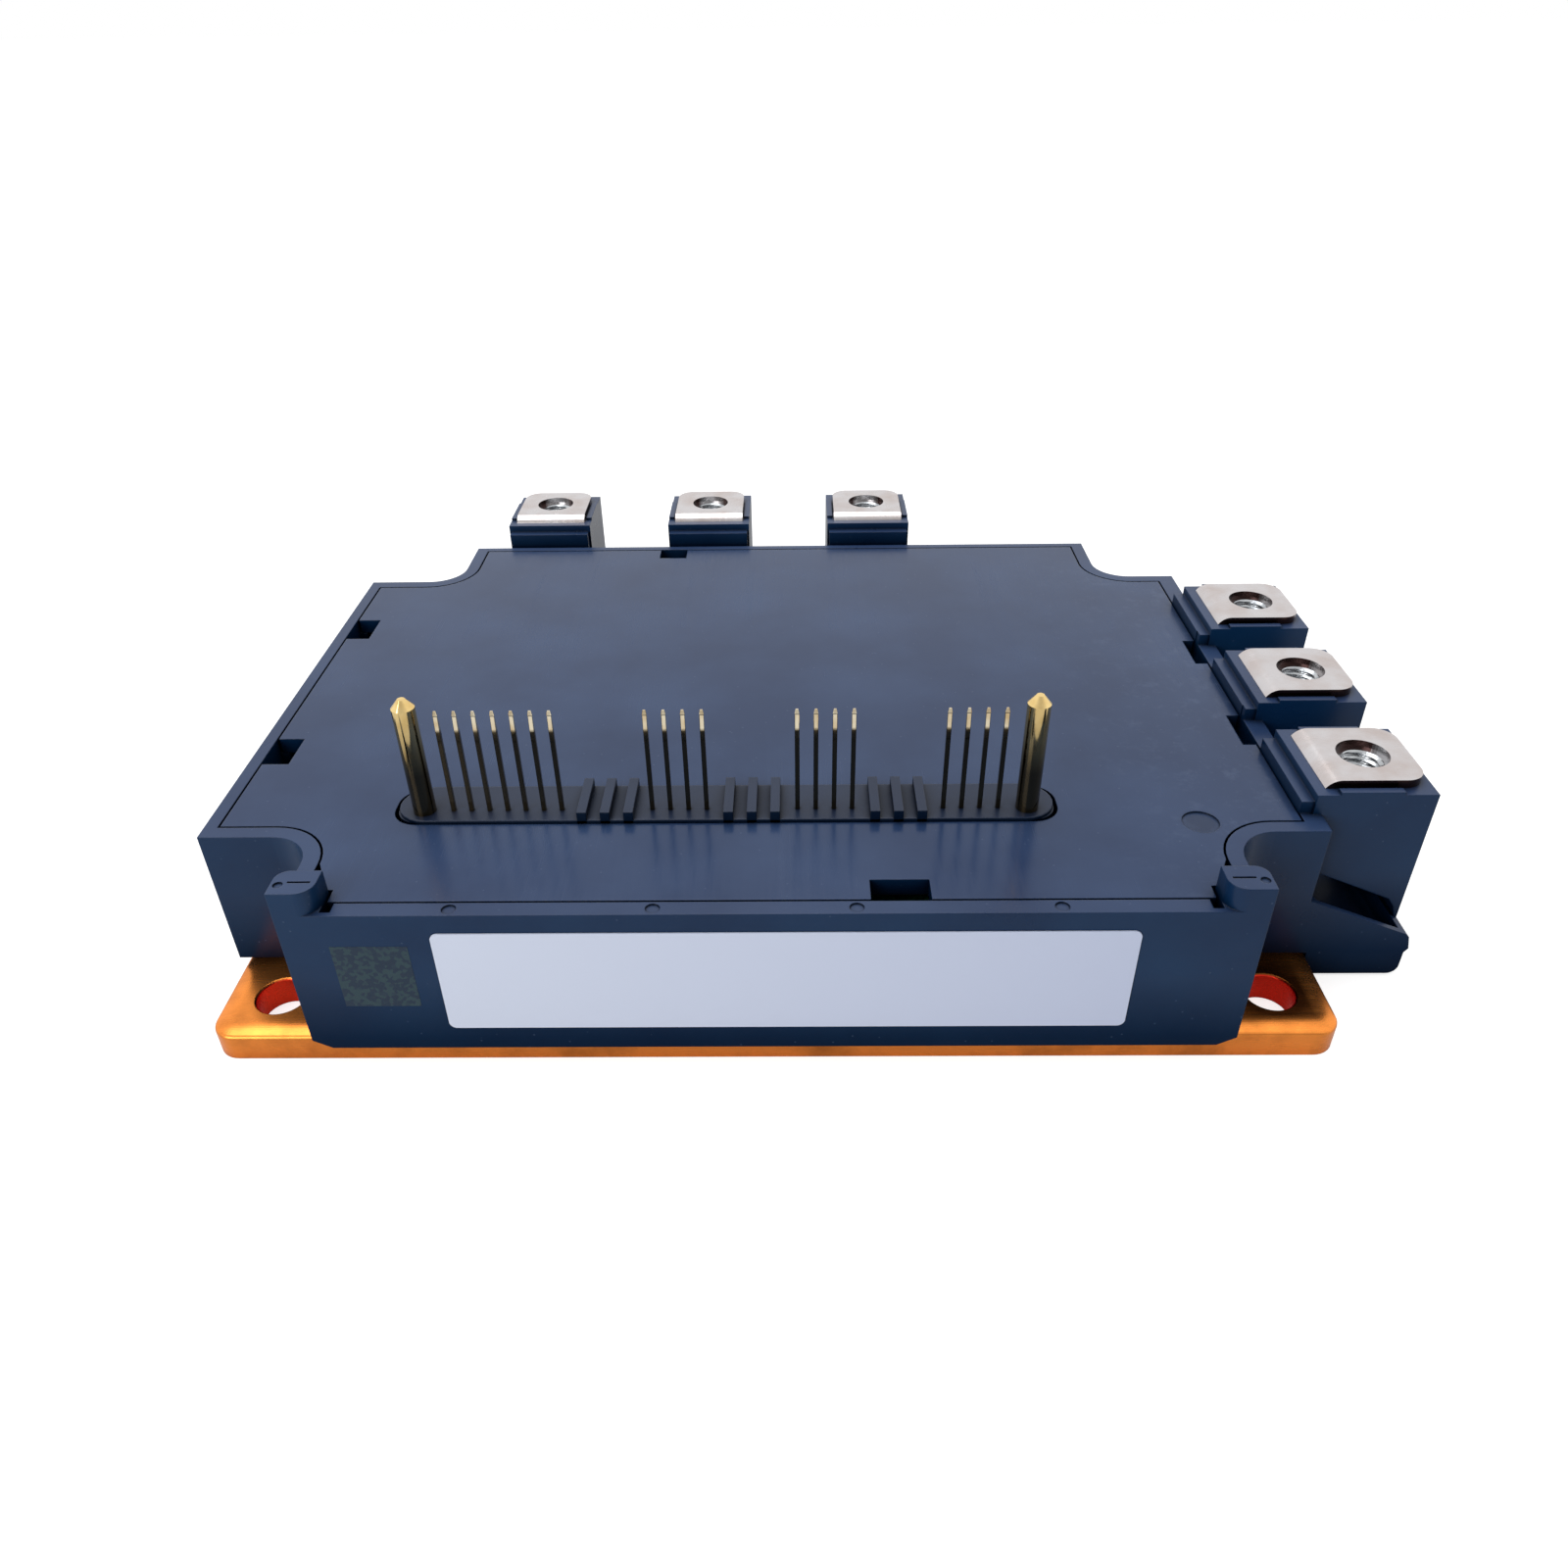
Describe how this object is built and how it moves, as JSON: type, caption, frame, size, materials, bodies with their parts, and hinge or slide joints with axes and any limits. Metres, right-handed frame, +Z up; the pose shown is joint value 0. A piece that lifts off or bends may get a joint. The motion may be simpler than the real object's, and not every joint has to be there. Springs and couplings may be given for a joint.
{
  "type": "power transistor module",
  "caption": "Flat power transistor module: a dark moulded case with a lid on a copper base plate, screw terminals on two sides, and a row of upright control pins.",
  "frame": {"origin": "on the underside of the base plate, midway between the four mounting holes", "axes": "+X towards the end with screw terminals, +Y towards the rear screw terminals (the label faces -Y), +Z up along the control pins"},
  "size_m": [0.135, 0.1102, 0.0353],
  "materials": {
    "plate_copper": "bare copper plate, fine rolled grain, tarnished near the holes",
    "case_plastic": "dark blue moulded plastic, semi-gloss",
    "lid_plastic": "dark blue-grey moulded plastic, satin",
    "header_plastic": "dark blue-grey moulded plastic, satin",
    "label_film": "pale printed film, left blank",
    "terminal_metal": "nickel-plated copper, satin",
    "nut_steel": "plated steel",
    "pin_gold": "gold-plated, bright",
    "board_green": "glass-fibre board with solder mask",
    "chip_black": "moulded chip body",
    "ceramic_white": "white aluminium-oxide tile",
    "track_copper": "bare copper foil",
    "silicon": "metallised chip top",
    "wire_aluminium": "drawn aluminium wire",
    "lead_brass": "plated lead"
  },
  "bodies": {
    "root": {"base_plate": "plate_copper", "case_frame": "case_plastic", "lid": "lid_plastic", "pin_header": "header_plastic", "label": "label_film", "terminal_nuts": "nut_steel", "guide_pin_left": "pin_gold", "guide_pin_right": "pin_gold", "control_board": "board_green", "copper_tracks": "track_copper", "bond_wires": "wire_aluminium", "signal_leads": "lead_brass", "terminal_right_1": "terminal_metal", "terminal_right_2": "terminal_metal", "terminal_right_3": "terminal_metal", "terminal_back_1": "terminal_metal", "terminal_back_2": "terminal_metal", "terminal_back_3": "terminal_metal", "control_pin_01": "pin_gold", "control_pin_02": "pin_gold", "control_pin_03": "pin_gold", "control_pin_04": "pin_gold", "control_pin_05": "pin_gold", "control_pin_06": "pin_gold", "control_pin_07": "pin_gold", "control_pin_08": "pin_gold", "control_pin_09": "pin_gold", "control_pin_10": "pin_gold", "control_pin_11": "pin_gold", "control_pin_12": "pin_gold", "control_pin_13": "pin_gold", "control_pin_14": "pin_gold", "control_pin_15": "pin_gold", "control_pin_16": "pin_gold", "control_pin_17": "pin_gold", "control_pin_18": "pin_gold", "control_pin_19": "pin_gold", "driver_chip_1": "chip_black", "ceramic_tile_1": "ceramic_white", "driver_chip_2": "chip_black", "ceramic_tile_2": "ceramic_white", "driver_chip_3": "chip_black", "ceramic_tile_3": "ceramic_white", "driver_chip_4": "chip_black", "ceramic_tile_4": "ceramic_white", "igbt_chip_1": "silicon", "diode_chip_1": "silicon", "igbt_chip_2": "silicon", "diode_chip_2": "silicon", "igbt_chip_3": "silicon", "diode_chip_3": "silicon", "igbt_chip_4": "silicon", "diode_chip_4": "silicon", "igbt_chip_5": "silicon", "diode_chip_5": "silicon", "igbt_chip_6": "silicon", "diode_chip_6": "silicon", "igbt_chip_7": "silicon", "diode_chip_7": "silicon"}
  },
  "joints": []
}
